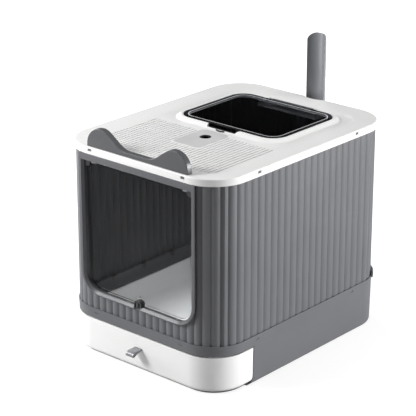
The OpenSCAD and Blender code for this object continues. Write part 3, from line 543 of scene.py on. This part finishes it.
def makeFloor(look):
    deselectAll()
    bpy.ops.mesh.primitive_plane_add(size=look["size"], location=(0, 0, -look["drop"]))
    floor = bpy.context.view_layer.objects.active
    floor.name = "studioFloor"
    applyAll(floor)
    made = Finish(bpy.data.materials.new("studioPaper"))
    made.tree.nodes.remove(made.shader)
    place = made.place()
    tone = made.spread(made.noise("cloud", place, look["fleckScale"]), 0.0, 1.0)
    paper = made.add("ShaderNodeBsdfDiffuse")
    made.feed(paper, "Color", made.blend(tone, opaque(look["colour"]), opaque(look["fleck"])))
    # the paper is lifted towards white for the camera alone, and more so farther out
    away = made.vector("LENGTH", place)
    rise = made.spread(away, look["lift"], look["liftFar"], look["liftFrom"], look["liftTo"])
    seen = made.add("ShaderNodeLightPath").outputs["Is Camera Ray"]
    glow = made.add("ShaderNodeEmission")
    made.feed(glow, "Strength", made.number("MULTIPLY", seen, rise))
    both = made.add("ShaderNodeAddShader")
    made.feed(both, 0, paper.outputs["BSDF"])
    made.feed(both, 1, glow.outputs["Emission"])
    made.feed(made.tree.nodes["Material Output"], "Surface", both.outputs["Shader"])
    dress(floor, made.owner)


airLook = {"colour": (1, 1, 1), "seen": 1.0, "light": 0.12, "lightInClear": 0.036}


def makeAir(look):
    world = bpy.data.worlds.new("studioAir")
    bpy.context.scene.world = world
    made = Finish(world)
    made.tree.nodes.clear()
    path = made.add("ShaderNodeLightPath").outputs
    inClear = path["Is Transmission Ray"]
    # white straight behind the clear pieces too, but it lights nothing inside them
    turns = made.number("ADD", path["Diffuse Depth"], path["Glossy Depth"])
    straight = made.number("LESS_THAN", turns, 0.5)  # no turn so far
    behindClear = made.number("MULTIPLY", inClear, straight)
    white = made.add("ShaderNodeBackground")
    made.feed(white, "Color", opaque(look["colour"]))
    made.feed(white, "Strength", look["seen"])
    air = made.add("ShaderNodeBackground")
    made.feed(air, "Color", opaque(look["colour"]))
    made.feed(air, "Strength", made.spread(inClear, look["light"], look["lightInClear"], 0, 1))
    mix = made.add("ShaderNodeMixShader")
    made.feed(mix, 0, made.number("MAXIMUM", path["Is Camera Ray"], behindClear))
    made.feed(mix, 1, air.outputs["Background"])
    made.feed(mix, 2, white.outputs["Background"])
    made.feed(made.add("ShaderNodeOutputWorld"), "Surface", mix.outputs["Shader"])


# one small lamp hangs under the lid, over the pan, and the others stand round the object
lamps = {
    "nearLeft": {
        "place": (-1.3, -0.72, 0.4), "at": (-0.15, -0.25, 0.2),
        "size": (0.4, 0.5), "watts": 9, "spread": 180,
    },
    "frontHigh": {
        "place": (-1.35, -1.75, 1.55), "at": (-0.05, -0.2, 0.2),
        "size": (1.0, 0.9), "watts": 64, "spread": 180,
    },
    "farLeft": {
        "place": (-2.2, 0.5, 0.8), "at": (-0.19, 0, 0.25),
        "size": (1.2, 1.2), "watts": 44, "spread": 180,
    },
    "rightFill": {
        "place": (2.2, 1.25, 0.7), "at": (0.19, 0.1, 0.25),
        "size": (1.1, 1.0), "watts": 92, "spread": 180,
    },
    "overhead": {
        "place": (-0.15, 0.1, 2.5), "at": (0, 0, 0.35),
        "size": (1.3, 1.3), "watts": 12, "spread": 180,
    },
    "overPan": {
        "place": (0, -0.02, 0.37), "at": (0, -0.02, 0),
        "size": (0.22, 0.3), "watts": 0.31, "spread": 55,
    },
}


def makeLamp(name, lamp):
    data = bpy.data.lights.new(name, "AREA")
    data.shape = "RECTANGLE"
    data.size, data.size_y = lamp["size"]
    data.energy = lamp["watts"]
    data.spread = math.radians(lamp["spread"])
    light = bpy.data.objects.new(name, data)
    bpy.context.collection.objects.link(light)
    light.location = lamp["place"]
    turnTo(light, Vector(lamp["at"]) - Vector(lamp["place"]))


makeFloor(floorLook)
makeAir(airLook)
for name, lamp in lamps.items():
    makeLamp(name, lamp)
bpy.context.scene.view_settings.view_transform = "Standard"
print("stage and light set")
